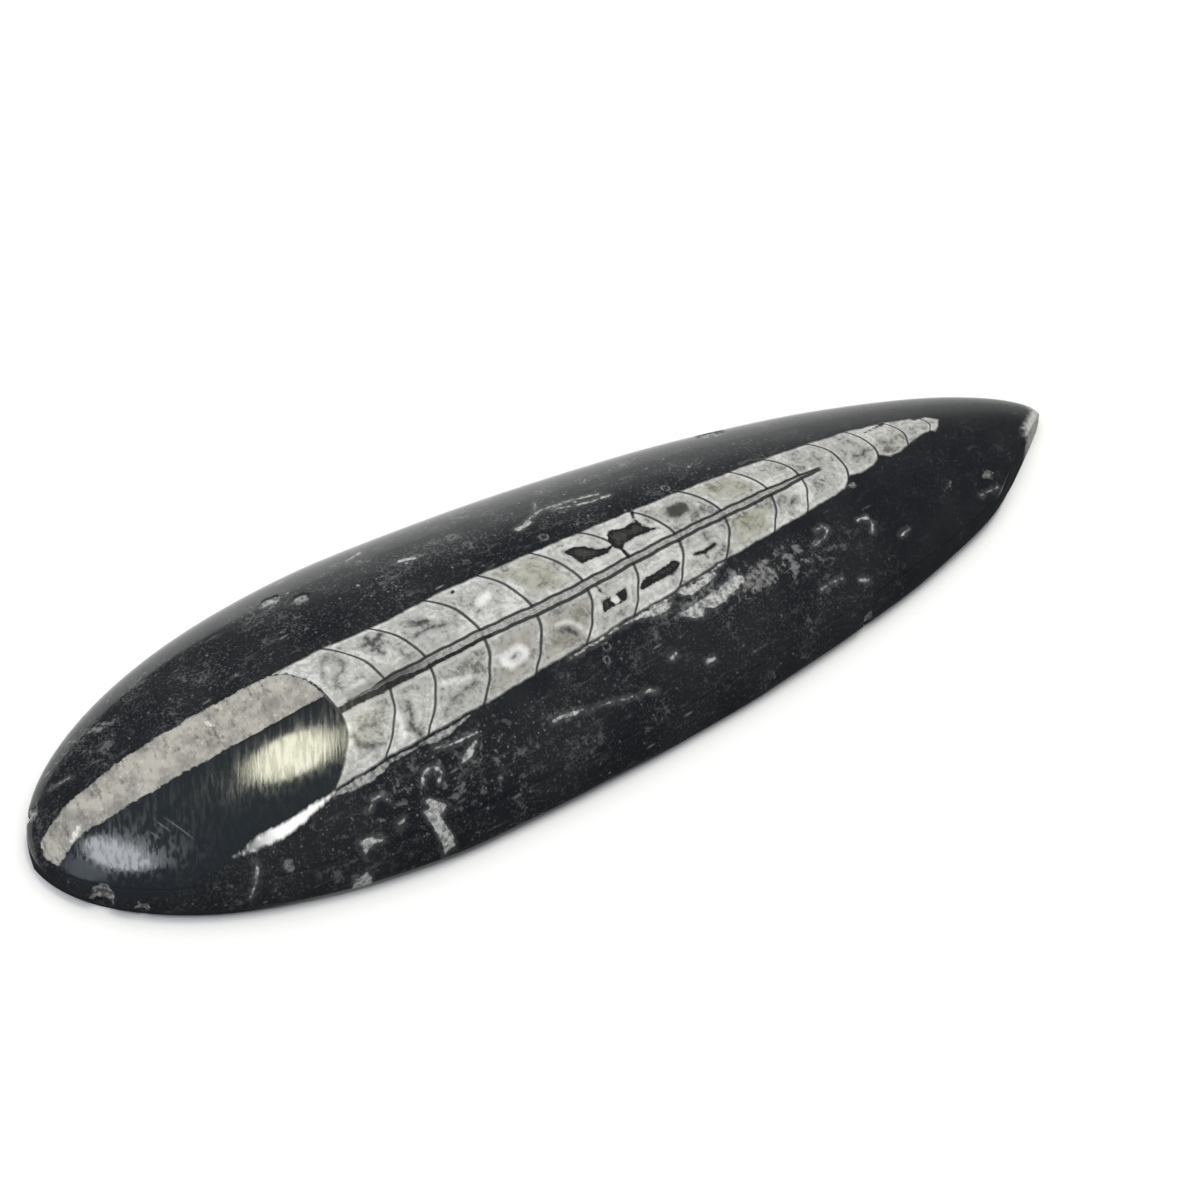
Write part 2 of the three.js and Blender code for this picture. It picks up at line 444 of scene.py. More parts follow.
SHELL_LINES = [
    ([(-9.5, -8.8), (-5, -8.15), (0.6, -7.45)], 0.1),
    ([(0.6, -7.4), (6, -6.8), (12, -5.8), (16, -5.2)], 0.08),
    ([(-5, 10.7), (-3.6, 11), (-2, 11.6), (0.2, 12.3), (4, 12), (8, 11.3)], 0.13),
    ([(-4.6, 10.6), (-2.8, 11)], 0.3),
    ([(1.4, 11.7), (4.6, 10.7), (9, 10.3)], 0.12),
    ([(-0.6, 12.6), (0.4, 14.3)], 0.06),
    ([(-15.2, -14.4), (-12.4, -14.6), (-10.9, -14.7)], 0.14),
    ([(-10.9, -14.8), (-7, -15.2), (-2, -15.6)], 0.03),
    ([(-2, -15.6), (-0.8, -15.8)], 0.12),
    ([(26.8, -12.6), (28.6, -12.2), (30.8, -12.1)], 0.05),
    ([(33.2, -13.1), (34.4, -13.4)], 0.2),
    ([(2.8, -13.3), (3.8, -13.1)], 0.14),
    ([(7.4, -15.1), (8.4, -15.1)], 0.2),
    ([(41.8, -9.9), (43.6, -9.5)], 0.09),
    ([(-54.9, -13.9), (-55.6, -15.3), (-56.6, -16.1)], 0.12),
    ([(-70.8, 6.1), (-68, 5.9)], 0.05),
    ([(-20.2, 13.2), (-18.2, 12.7)], 0.18),
    ([(-36.9, 15.8), (-36, 15.9)], 0.25),
    ([(-38.3, -17.4), (-37.2, -17.1)], 0.1),
    ([(28.9, -7.4), (31, -6.8), (32.2, -6), (31.5, -5.3), (30.3, -5.6)], 0.06),
    ([(36.9, -6.3), (38.3, -6.4), (38.8, -7.4), (38, -8.4)], 0.12),
    ([(-40.8, -14.9), (-39.9, -13.9), (-38.8, -13.9), (-38, -14.9)], 0.06),
    ([(-33.6, -14.8), (-32.9, -13.7), (-31.6, -13.6), (-30.8, -14.6), (-31.6, -15.3)], 0.12),
    ([(-30.4, -11.9), (-28.4, -12.3), (-24.6, -12.2)], 0.07),
    ([(-25, 17.2), (-22.6, 17.9)], 0.1),
    ([(60.6, -8), (57, -8.3)], 0.04),
]
# Fine scratches in the polish over the black filling: both ends
SCRATCHES = [((-62.2, -4.4), (-60, -9)), ((-63.1, -4.5), (-62, -6.8)), ((-64.2, -5.2), (-63.4, -6.8))]
# Small rings: centre and radius
RINGS = [
    ((-2.8, 7.8), 0.55), ((-4.4, -9.2), 0.5), ((-5.2, -10.6), 0.42), ((-51.6, -15.7), 0.5), ((16, 8), 0.5),
]


def outline_distance(x, y, outline):
    """Distance to a closed outline, less than 0 inside it."""
    closed = outline + outline[:1]
    inside = np.zeros(x.shape, bool)
    for (ax, ay), (bx, by) in zip(closed, closed[1:]):
        if ay != by:
            crossing = ax + (y - ay) * (bx - ax) / (by - ay)
            inside ^= ((ay > y) != (by > y)) & (x < crossing)
    return np.where(inside, -1, 1) * to_line(x, y, closed)


def nearest(x, y, outlines=(), lines=()):
    """Distance to the nearest of some outlines and some thick lines, less than 0 inside one."""
    distances = [outline_distance(x, y, outline) for outline in outlines]
    distances += [to_line(x, y, line) - thick for line, thick in lines]
    return np.min(distances, axis=0)


def chamber_fills(chamber, above):
    """Brightness, brownness and greenness of the chamber that each vertex is in."""
    number = np.clip(np.floor(chamber), 0, len(SEPTA) - 1).astype(int)
    fills = np.array([[FILLS[name] for name in side] for side in (FILLS_BELOW, FILLS_ABOVE)])
    return fills[above.astype(int), number].T


def hand_drawn(x, y):
    """The same places moved a little, so that no line is drawn too evenly."""
    moved_x = x + 0.06 * np.sin(y * 1.7 + 0.7 * x)
    moved_y = y + 0.05 * np.sin(x * 1.1) + 0.03 * np.sin(x * 2.7 + y)
    return moved_x, moved_y


def chamber_number(x, y, middle):
    """Counts septa along the shell. It is a whole number on each one."""
    share_above = (y - middle) / np.maximum(curve(UPPER_WALL)(x) - middle, 0.3)
    share_below = (middle - y) / np.maximum(middle - curve(LOWER_WALL)(x), 0.3)
    swept_above = np.interp(x, *np.transpose(SWEEP_ABOVE)) * np.clip(share_above, 0, 1.5) ** 2.2
    swept_below = np.interp(x, *np.transpose(SWEEP_BELOW)) * np.clip(share_below, 0, 1.5) ** 1.85
    grown = x + np.where(y > middle, swept_above, swept_below)
    chamber = np.interp(grown, SEPTA, np.arange(len(SEPTA)))
    return chamber + np.minimum(0, grown - SEPTA[0]) / 7 + np.maximum(0, grown - SEPTA[-1]) / 5


def region_shares(x, y, cone):
    """How much each place belongs to some regions of the stone, from 0 to 1."""
    shell_dust = np.hypot((x + 30) / 20, (y + 15.5) / 4.5)
    shell_hash = np.hypot((x - 19) / 17, (y + 8) / 3)
    plain_strip = smooth_step(2.2, 1.2, cone) * smooth_step(-28, -24, x) * (y < 0)
    return {
        "crescent_fade": smooth_step(-50, -57, x),  # its feathered end
        "dusty": smooth_step(1.4, 0.3, shell_dust),
        "shelly": smooth_step(1.3, 0.4, shell_hash),
        "near_tip": smooth_step(67.2, 72, x),
        # painted light: where the foot of the edge is painted grey as lit stone
        "lit_foot_strip": smooth_step(3, -14, x) * smooth_step(-58, -46, x),
        "open_tube": smooth_step(-23, -30, x),  # where dark mud got into the siphuncle
        "tube_mouth": smooth_step(-31.5, -35, x),  # where its upper wall is lost
        "calm": np.maximum(smooth_step(22, 46, x), plain_strip),  # the plainer stone, mostly near the tip
        "upper_side": smooth_step(4.5, 8, y),
        "grimy": smooth_step(-10, -28, x),  # how stained the calcite beside the siphuncle is
        "lost_seam": smooth_step(0.4, 2.2, y) * smooth_step(-37, -38.5, x),
        "round_end": smooth_step(-56, -64, x),
        "tube_reach": smooth_step(SIPHUNCLE_END + 0.4, SIPHUNCLE_END - 0.2, x),
    }


def fossil_distances(points):
    """What the material reads at each vertex: distances in millimetres, and shares from 0 to 1."""
    x, y = hand_drawn(*points[:, :2].T)
    top, low = curve(SIPHUNCLE_TOP)(x), curve(SIPHUNCLE_LOW)(x)
    middle = np.where(x > SIPHUNCLE_END, np.interp(x, *AXIS_PAST_END), (top + low) / 2)
    chamber = chamber_number(x, y, middle)
    bright, brown, green = chamber_fills(chamber, y > middle)
    cone = outline_distance(x, y, PHRAGMOCONE)
    spot = np.hypot(x - DOT_PLACE[0], y - DOT_PLACE[1])
    rings = [np.abs(np.hypot(x - centre[0], y - centre[1]) - radius) for centre, radius in RINGS]
    distances = {
        "cone": cone,
        "band": outline_distance(x, y, BAND),
        "mud": outline_distance(x, y, MUD),
        "crescent": outline_distance(x, y, CRESCENT),
        "outer_wall": outline_distance(x, y, OUTER_WALL),
        "chamber": chamber,
        "siphuncle_top": y - top,
        "siphuncle_low": low - y,
        "black": np.maximum(nearest(x, y, BLACK_CORES, BLACK_LINES), DOT_RADIUS - spot),
        "grey": nearest(x, y, lines=GREY_MARKS),
        "white": nearest(x, y, lines=WHITE_MARKS),
        "bright": bright,
        "brown": brown,
        "green": green,
        "scraps": nearest(x, y, SCRAPS, SHELL_LINES),
        "dull_scraps": nearest(x, y, DULL_SCRAPS),
        "rings": np.min(rings, axis=0),
    }
    return {**distances, **region_shares(x, y, cone)}


def add_object(name, data):
    """A new object in the scene."""
    made = bpy.data.objects.new(name, data)
    bpy.context.scene.collection.objects.link(made)
    return made


def build_slab():
    """The visible slab, with what its material reads stored on the vertices."""
    points, triangles, zone, matte, chips, beyond = slab_points()
    mesh = bpy.data.meshes.new("polished_slab")
    mesh.from_pydata((points * MM).tolist(), [], triangles.tolist())
    mesh.shade_smooth()
    mesh.set_sharp_from_angle(angle=math.radians(55))
    fields = fossil_distances(points)
    fields["ground"] = matte  # 1 on the ground edge and on the steep lip above it, 0 elsewhere
    fields["foot"] = (zone == EDGE) * smooth_step(FOOT + 0.2, FOOT - 0.2, points[:, 2])
    fields["sawn"] = zone == UNDERSIDE
    fields["broken"] = chips  # how deep a chip is
    fields["tip_flat"] = beyond  # millimetres outside the planes of the flats at the tip
    for name, values in fields.items():
        layer = mesh.attributes.new(name, "FLOAT", "POINT")
        layer.data.foreach_set("value", values.astype(np.float32))

    # The second material goes on every face that touches an unpolished place.
    rough = (zone != DOME) | (beyond > 0) | (matte > 0)
    mesh.polygons.foreach_set("material_index", rough[triangles].any(axis=1).astype(np.int32))
    return add_object("polished_slab", mesh)


# ---- materials


def plug(tree, socket, given):
    """Links a value or socket to an input, or sets a plain number, list or colour on it."""
    if isinstance(given, Value):
        given = given.socket
    if isinstance(given, bpy.types.NodeSocket):
        tree.links.new(given, socket)
    elif isinstance(given, tuple):
        socket.default_value = (*given, 1.0)
    else:
        socket.default_value = given


def add_node(tree, kind, inputs=None, **settings):
    """A new node with those settings, and its inputs linked or set, each by name or number."""
    node = tree.nodes.new("ShaderNode" + kind)
    for name, setting in settings.items():
        setattr(node, name, setting)
    for place, given in (inputs or {}).items():
        plug(tree, node.inputs[place], given)
    return node


class Value:
    """A number in a node tree, with the usual arithmetic."""

    def __init__(self, tree, socket):
        self.tree, self.socket = tree, socket

    def _math(self, operation, *others):
        node = add_node(self.tree, "Math", dict(enumerate((self, *others))), operation=operation)
        return Value(self.tree, node.outputs[0])

    def __add__(self, other):
        return self._math("ADD", other)

    def __sub__(self, other):
        return self._math("SUBTRACT", other)

    def __mul__(self, other):
        return self._math("MULTIPLY", other)

    def __neg__(self):
        return self * -1.0

    def __rsub__(self, other):
        return -self + other

    __radd__, __rmul__ = __add__, __mul__

    def __abs__(self):
        return self._math("ABSOLUTE")

    def lesser(self, other):
        return self._math("MINIMUM", other)

    def greater(self, other):
        return self._math("MAXIMUM", other)

    def from_whole(self):
        """How far the number is from the nearest whole one."""
        return abs(self - self._math("ROUND"))

    def step(self, start, end):
        """0 at start, 1 at end and smooth between them. Start may be the larger."""
        rises = start < end
        inputs = {
            "Value": self,
            "From Min": min(start, end),
            "From Max": max(start, end),
            "To Min": 0.0 if rises else 1.0,
            "To Max": 1.0 if rises else 0.0,
        }
        node = add_node(self.tree, "MapRange", inputs, interpolation_type="SMOOTHSTEP")
        return Value(self.tree, node.outputs["Result"])


class Painter:
    """Short names for the nodes that a material is made of."""

    def __init__(self, tree):
        self.tree = tree
        self.place = add_node(tree, "TexCoord").outputs["Object"]

    def stretched(self, stretch, turn=0.0, shift=0.0):
        """Coordinates in millimetres, turned about Z by some degrees, then stretched and moved."""
        vector = self.place
        if turn:
            inputs = {"Vector": vector, "Angle": math.radians(turn)}
            vector = add_node(self.tree, "VectorRotate", inputs, rotation_type="Z_AXIS").outputs[0]
        scale = [factor / MM for factor in stretch]
        moved = [shift * step for step in NOISE_STEP]
        inputs = {0: vector, 1: scale, 2: moved}
        return add_node(self.tree, "VectorMath", inputs, operation="MULTIPLY_ADD").outputs[0]

    def field(self, name):
        """What is stored on the vertices under that name."""
        return Value(self.tree, add_node(self.tree, "Attribute", attribute_name=name).outputs["Fac"])

    def grain(
        self, size, detail=2, roughness=0.5, distortion=0.0, stretch=(1, 1, 1), turn=0.0, shift=0.0
    ):
        """Noise from 0 to 1 with features of about that many millimetres."""
        inputs = {
            "Vector": self.stretched(stretch, turn, shift),
            "Scale": 1 / size,
            "Detail": detail,
            "Roughness": roughness,
            "Distortion": distortion,
        }
        return Value(self.tree, add_node(self.tree, "TexNoise", inputs).outputs["Fac"])

    def specks(self, size, radius, rarity, stretch=(1, 1, 1), turn=0.0, shift=0.0):
        """Small dots in some of the cells of that size: 1 on a dot, 0 elsewhere."""
        inputs = {"Vector": self.stretched(stretch, turn, shift), "Scale": 1 / size}
        cells = add_node(self.tree, "TexVoronoi", inputs)
        chance = add_node(self.tree, "SeparateColor", {0: cells.outputs["Color"]}).outputs[0]
        picked = Value(self.tree, chance).step(rarity, min(1.0, rarity + 0.25))
        distance = Value(self.tree, cells.outputs["Distance"])
        return distance.step(radius / size, radius / size * 0.3) * picked

    def along(self, start, heading):
        """Millimetres from a place, measured along a heading."""
        inputs = {0: self.place, 1: [heading[0] / MM, heading[1] / MM, 0]}
        node = add_node(self.tree, "VectorMath", inputs, operation="DOT_PRODUCT")
        return Value(self.tree, node.outputs["Value"]) - (start[0] * heading[0] + start[1] * heading[1])

    def scratch(self, start, end):
        """A straight hairline: 1 on it, 0 elsewhere, and fading to both ends."""
        length = math.dist(start, end)
        ahead = [(b - a) / length for a, b in zip(start, end)]
        gone = self.along(start, ahead)
        beside = abs(self.along(start, (-ahead[1], ahead[0])))
        return beside.step(0.13, 0.04) * gone.step(0, length / 3) * gone.step(length, length * 2 / 3)

    def mix(self, share, first, second):
        """Colour first where share is 0, second where it is 1."""
        return add_node(self.tree, "Mix", {0: share, 6: first, 7: second}, data_type="RGBA").outputs[2]

    def layers(self, colour, *layers):
        """Colours laid over the first in turn, each given as the share that it covers and the colour."""
        for share, over in layers:
            colour = self.mix(share, colour, over)
        return colour


NOISE_STEP = (31.7, 17.3, 23.9)  # how far each shift by 1 moves a noise
POLISHED = 0.09  # roughness of the dome
# Colours, as the light that each reflects
BLACK = (0.0062, 0.0074, 0.0094)
# The black mud, lighter and bluer by a painted sheen of reflected ceiling light
MUD_BLACK_AND_SHEEN = (0.0105, 0.0135, 0.0165)
SOOT = (0.0112, 0.0124, 0.0142)
DIM_SPECK = (0.075, 0.078, 0.08)
PALE_SPECK = (0.24, 0.245, 0.25)
SHELL_DULL = (0.125, 0.128, 0.127)
SHELL_MIDDLE = (0.19, 0.19, 0.185)
SHELL_PALE = (0.4, 0.4, 0.395)
CALCITE_DARK = (0.08, 0.081, 0.079)
CALCITE_DIM = (0.135, 0.136, 0.131)
CALCITE = (0.298, 0.298, 0.287)
CALCITE_WHITE = (0.43, 0.43, 0.42)
CALCITE_BRIGHT = (0.58, 0.58, 0.575)
# Pale shell wall with a painted glare highlight on it, for the crescent
SHELL_WALL_AND_GLARE = (0.78, 0.78, 0.77)
BROWN_TINT = (0.205, 0.19, 0.155)
GREEN_TINT = (0.225, 0.228, 0.145)
CORE_GREY = (0.055, 0.057, 0.06)
CORE_DARK = (0.03, 0.03, 0.026)
GRIME = (0.105, 0.096, 0.078)
SUTURE = (0.01, 0.01, 0.011)
BAND_LIGHT = (0.305, 0.292, 0.262)
BAND_DIM = (0.165, 0.161, 0.148)
BAND_SPECK = (0.085, 0.08, 0.07)
# Grey stone as painted light on the lit foot of the edge
LIT_GROUND_STONE = (0.16, 0.157, 0.15)
SAWN_STONE = (0.06, 0.061, 0.063)
SAWN_PALE = (0.1, 0.1, 0.102)
FRESH_BREAK = (0.29, 0.287, 0.28)
TIP_PALE = (0.38, 0.376, 0.365)


def black_limestone(paint):
    """The stone round the shell: near black and clouded, with fine pale specks and short dashes."""
    mud = paint.field("mud").step(0.4, -0.4)
    busy = (1.0 - mud * 0.95) * (1.0 - paint.field("calm") * 0.72) * (paint.field("upper_side") * 0.7 + 1.0)
    dusty, shelly = paint.field("dusty"), paint.field("shelly")
    colour = paint.mix(paint.grain(11.0, detail=4).step(0.38, 0.66), BLACK, SOOT)
    # The mud's own black with a painted bluish sheen
    colour = paint.mix(mud, colour, MUD_BLACK_AND_SHEEN)
    for start, end in SCRATCHES:
        colour = paint.mix(paint.scratch(start, end) * 0.8, colour, DIM_SPECK)

    streaks = paint.grain(0.9, detail=4, roughness=0.66, stretch=(0.24, 1, 1), turn=-4, shift=1)
    pepper = paint.grain(0.36, detail=3, roughness=0.75, shift=2)
    patches = paint.grain(5.0, detail=3, shift=3)
    cloudy = patches.step(0.46, 0.66)
    lumps = paint.grain(1.4, detail=5, roughness=0.7, distortion=0.6, shift=9)
    lumpy = (lumps + cloudy * 0.08).step(0.6, 0.72) * (cloudy * 0.5 + 0.2)
    hash_grain = paint.grain(1.2, detail=3, roughness=0.62, distortion=0.25, shift=4)
    crumbled = (hash_grain + shelly * 0.1 + dusty * 0.04).step(0.58, 0.72)
    crumbled = crumbled * (shelly + dusty * 0.55 + 0.06)

    dots = paint.specks(2.4, 0.32, 0.66, shift=5)
    small = paint.specks(1.1, 0.24, 0.58, shift=6)
    dashes = paint.specks(1.9, 0.3, 0.7, stretch=(0.3, 1.3, 1), turn=-6, shift=7)
    dust = paint.specks(0.75, 0.2, 0.45, shift=8) * (dusty + 0.25)
    specks = dots * 0.48 + small * 0.24 + dashes * 0.36 + dust * 0.34
    return paint.layers(
        colour,
        (streaks.step(0.56, 0.76) * busy * 0.42, DIM_SPECK),
        ((pepper + patches * 0.3).step(0.66, 0.92) * busy * 0.6, DIM_SPECK),
        (lumpy * busy, DIM_SPECK),
        (crumbled.lesser(1.0) * busy, SHELL_DULL),
        (specks.lesser(1.0) * busy, PALE_SPECK),
    )


def shell_scraps(paint, colour):
    """Broken shell in the black stone: blades, hooks, rings and fine dashes."""
    ragged = paint.grain(0.8, detail=4, roughness=0.62, shift=11) - 0.5
    mottle = paint.grain(0.6, detail=4, roughness=0.65, shift=12)
    pale = paint.mix(mottle.step(0.36, 0.62), SHELL_DULL, SHELL_PALE)
    dull = paint.mix(mottle.step(0.34, 0.64), SOOT, SHELL_MIDDLE)
    scraps, dull_scraps = paint.field("scraps"), paint.field("dull_scraps")
    broken = paint.grain(1.6, shift=13).step(0.34, 0.54)
    rings = (paint.field("rings") + ragged * 0.25).step(0.22, 0.06) * broken
    return paint.layers(
        colour,
        ((scraps + ragged * 1.6).step(0.7, 0.0) * 0.22, SHELL_DULL),
        ((dull_scraps + ragged * 1.3).step(0.15, -0.15) * 0.75, dull),
        ((scraps + ragged * 0.7).step(0.1, -0.08) * 0.9, pale),
        (rings * 0.75, SHELL_DULL),
    )


def calcite_grains(paint):
    """The noises that the calcite of the chambers is made of. The last two are around 0."""
    return SimpleNamespace(
        fine=paint.grain(0.38, detail=4, roughness=0.7, shift=21),
        marbled=paint.grain(1.5, detail=5, roughness=0.62, distortion=1.0, shift=22),
        clouds=paint.grain(3.4, detail=3, distortion=0.5, shift=25),
        wobble=paint.grain(1.2, detail=3, shift=23) - 0.5,
        shiver=paint.grain(0.5, detail=2, shift=24) - 0.5,
    )


def calcite_zones(paint, grain, rim):
    """The calcite of a chamber, by how far it lies inside the chamber's rim: brightness, then stains."""
    fine, marbled, clouds, wobble = grain.fine, grain.marbled, grain.clouds, grain.wobble
    bright = paint.field("bright") + (marbled - 0.5) * 3.4 + (fine - 0.5) * 1.8 + (clouds - 0.5) * 2.4
    border = (rim + wobble * 1.8).step(1.9, 0.5)
    seam = abs(rim + wobble * 1.6 - 1.3).step(0.5, 0.1) * clouds.step(0.4, 0.56)
    heart = (rim + wobble * 2.0).step(1.7, 2.3)
    loop = abs(rim + wobble * 1.4 - 0.85).step(0.32, 0.05)
    bright = bright + seam * 0.25 + border * 0.48 + heart * 0.16 - loop * 0.26 - 0.26
    inner = (rim + wobble * 1.8).step(0.4, 1.5)
    mottle = (fine * 1.2 + marbled * 0.9 - 0.55).greater(0.0).lesser(1.0)
    return paint.layers(
        paint.mix(bright.step(-0.65, 0.62), CALCITE_DARK, CALCITE),
        (bright.step(0.6, 1.3), CALCITE_WHITE),
        (paint.field("brown") * (inner * mottle + 0.15), BROWN_TINT),
        (paint.field("green") * inner * mottle, GREEN_TINT),
    )


def chamber_marks(paint, grain, tube, black, colour):
    """Grime along the siphuncle, then the white, grey and black marks over the calcite."""
    fine, marbled, wobble, shiver = grain.fine, grain.marbled, grain.wobble, grain.shiver
    grime = paint.field("grimy") * tube.step(1.7, 0.1) * (fine + marbled * 0.8).step(0.75, 1.1)
    white = paint.field("white") + shiver * 0.7 + wobble * 0.4
    grey = paint.field("grey") + shiver * 0.8 + wobble * 0.3
    core = paint.mix((marbled + fine - 0.5).step(0.36, 0.66), CORE_DARK, CORE_GREY)
    smoky = paint.mix(grey.step(0.1, -0.3), CORE_GREY, core)
    smoky = paint.mix(grey.step(-0.1, -0.65), smoky, CORE_DARK)
    deep = (paint.field("black") + (marbled - 0.5) * 3.0 + (fine - 0.5) * 2.5).step(-0.35, -0.95)
    return paint.layers(
        colour,
        (grime * 0.7, GRIME),
        (white.step(0.55, -0.45) * (marbled * 0.7 + 0.4).lesser(1.0), CALCITE_BRIGHT),
        (grey.step(0.9, 0.05) * 0.45, CALCITE_DIM),
        (grey.step(0.3, -0.2) * 0.95, smoky),
        (abs(black - 0.45).step(0.45, 0.05) * 0.4, CALCITE_WHITE),
        (black.step(0.14, -0.1), SUTURE),
        (deep * 0.85, core),
    )


def siphuncle_and_septa(paint, grain, septum, tube, black, colour):
    """The filling of the siphuncle, the dark lines of the septa and the siphuncle's two walls."""
    fine, marbled, shiver = grain.fine, grain.marbled, grain.shiver
    reach = paint.field("tube_reach")
    grey = paint.mix((fine + marbled * 0.5).step(0.55, 0.95), CALCITE_DIM, CALCITE)
    mud = paint.mix((fine + marbled - 0.5).step(0.46, 0.84), CORE_GREY, CALCITE_DIM)
    in_tube = tube.step(0.03, -0.03) * black.step(0.0, 0.1) * reach
    suture = (septum + shiver * 0.1).step(0.3, 0.1) * (1.0 - in_tube * 0.75)
    suture = suture * (1.0 - paint.field("lost_seam") * 0.9)
    upper_wall = abs(paint.field("siphuncle_top")) + paint.field("tube_mouth") * 0.3
    lower_wall = abs(paint.field("siphuncle_low")) - 0.05
    walls = (upper_wall.lesser(lower_wall) + shiver * 0.1).step(0.28, 0.12)
    return paint.layers(
        colour,
        (in_tube, paint.mix(paint.field("open_tube"), grey, mud)),
        (suture * (0.72 + marbled * 0.35), SUTURE),
        (walls * reach * 0.93, SUTURE),
    )


def chamber_calcite(paint):
    """The chambered part of the shell: its calcite and cores, the septa and the siphuncle."""
    grain = calcite_grains(paint)
    septum = paint.field("chamber").from_whole() * CHAMBER_LENGTH
    tube = paint.field("siphuncle_top").greater(paint.field("siphuncle_low"))
    past_tube = (1.0 - paint.field("tube_reach")) * 9.0
    rim = septum.lesser(-paint.field("cone")).lesser(abs(tube) + past_tube)
    black = paint.field("black") + grain.shiver * 0.42 + grain.wobble * 0.22
    colour = calcite_zones(paint, grain, rim)
    colour = chamber_marks(paint, grain, tube, black, colour)
    return siphuncle_and_septa(paint, grain, septum, tube, black, colour)


def band_calcite(paint):
    """The granular warm grey calcite along the body chamber, with painted glints of glare where the white
    marks fall on it.
    """
    grit = paint.grain(0.5, detail=5, roughness=0.72, stretch=(1, 0.6, 1), turn=20, shift=31)
    cloud = paint.grain(2.6, detail=5, roughness=0.6, shift=32)
    ribs = paint.grain(0.9, detail=3, roughness=0.6, stretch=(1, 0.3, 1), turn=8, shift=33)
    # Painted glare highlights, where the white marks fall on the band
    painted_glare = (paint.field("white") + (grit - 0.5) * 2.2).step(0.35, -0.25)
    return paint.layers(
        paint.mix(cloud.step(0.34, 0.64), BAND_DIM, BAND_LIGHT),
        ((grit * 0.55 + ribs * 0.45).step(0.5, 0.35) * 0.85, BAND_SPECK),
        (grit.step(0.55, 0.7) * 0.55, CALCITE_WHITE),
        (painted_glare * 0.85, CALCITE_BRIGHT),
    )


def fossil_colour(paint, ragged, crumbs, streaky, in_chambers):
    """The stone with the shell in it, from the lowest layer of colour to the highest."""
    outer = (paint.field("outer_wall") + ragged * 0.7).step(0.12, -0.12)
    wall = abs(paint.field("cone") + 0.04 + ragged * 0.16).step(0.19, 0.06)
    wall = wall * (paint.field("band") + ragged * 2.0).step(0.1, 0.5)
    crescent = (paint.field("crescent") + ragged * 0.12 + (streaky - 0.5) * 0.6).step(0.25, -0.28)
    crescent = crescent * (1.0 - paint.field("crescent_fade") * (streaky.step(0.3, 0.6) * 0.5 + 0.5))
    border_line = (paint.field("black") + ragged * 0.2).step(0.06, -0.06)
    return paint.layers(
        shell_scraps(paint, black_limestone(paint)),
        (outer * 0.9, paint.mix(crumbs.step(0.36, 0.6), SHELL_DULL, CALCITE)),
        (in_chambers, chamber_calcite(paint)),
        (wall * 0.7, SUTURE),
        ((paint.field("band") + ragged).step(0.12, -0.12), band_calcite(paint)),
        # The crescent: pale shell wall, brightened by a painted glare highlight
        (crescent, SHELL_WALL_AND_GLARE),
        (border_line * paint.field("mud").step(0.8, 0.4), SUTURE),
    )


def wear_shares(paint, ragged):
    """Where the surface is broken, ground, sawn or rubbed, from 0 to 1."""
    tip = (paint.field("tip_flat") + ragged * 1.1).step(-1.4, -0.3)
    return SimpleNamespace(
        broken=(paint.field("broken") + ragged * 0.15).step(0.05, 0.2),
        ground=paint.field("ground").step(0.2, 0.8),
        sawn=paint.field("sawn").step(0.2, 0.8),
        flat=paint.field("tip_flat").step(0.0, 0.12),
        tip=tip * (paint.field("near_tip") + ragged).step(0.3, 0.9),
    )


def wear_and_lit_foot_colour(paint, wear, crumbs, colour):
    """Fresh breaks, the foot of the edge with its painted lit strip, the ground tip and the saw marks of the
    underside.
    """
    lit_strip = paint.field("lit_foot_strip") * crumbs.step(0.15, 0.45)
    saw_marks = paint.grain(0.7, detail=3, stretch=(0.03, 1, 1), shift=44).step(0.35, 0.65)
    return paint.layers(
        colour,
        (wear.broken * (crumbs.step(0.42, 0.6) * 0.65 + 0.22), FRESH_BREAK),
        # The foot of the edge: plain black, and grey as painted light where it is lit
        (paint.field("foot") * 0.9, paint.mix(lit_strip, BLACK, LIT_GROUND_STONE)),
        (wear.flat * 0.8, BLACK),
        (wear.tip * (crumbs.step(0.25, 0.6) * 0.6 + 0.35), TIP_PALE),
        (wear.sawn, paint.mix(saw_marks, SAWN_STONE, SAWN_PALE)),
    )


def stone_roughness(paint, wear, streaky, in_chambers):
    """Low and faintly streaked on the polished dome, high where it was only ground."""
    streaked = streaky.step(0.4, 0.64) * (paint.field("round_end") * 0.09 + 0.08)
    unpolished = wear.ground.greater(wear.flat).greater(wear.sawn)
    rough = POLISHED + streaked + in_chambers * 0.06 + (wear.broken + wear.tip) * 0.4 + unpolished * 0.9
    return rough.lesser(0.98)


def stone_bump(paint, wear, crumbs):
    """Heights in millimetres: scratches everywhere, and grit where the stone is broken or ground."""
    scratches = paint.grain(0.5, detail=4, roughness=0.6, stretch=(1, 0.08, 0.2), turn=28, shift=45)
    return scratches * 0.008 + crumbs * 0.08 * (wear.broken + wear.ground * 0.4 + wear.sawn * 0.5)


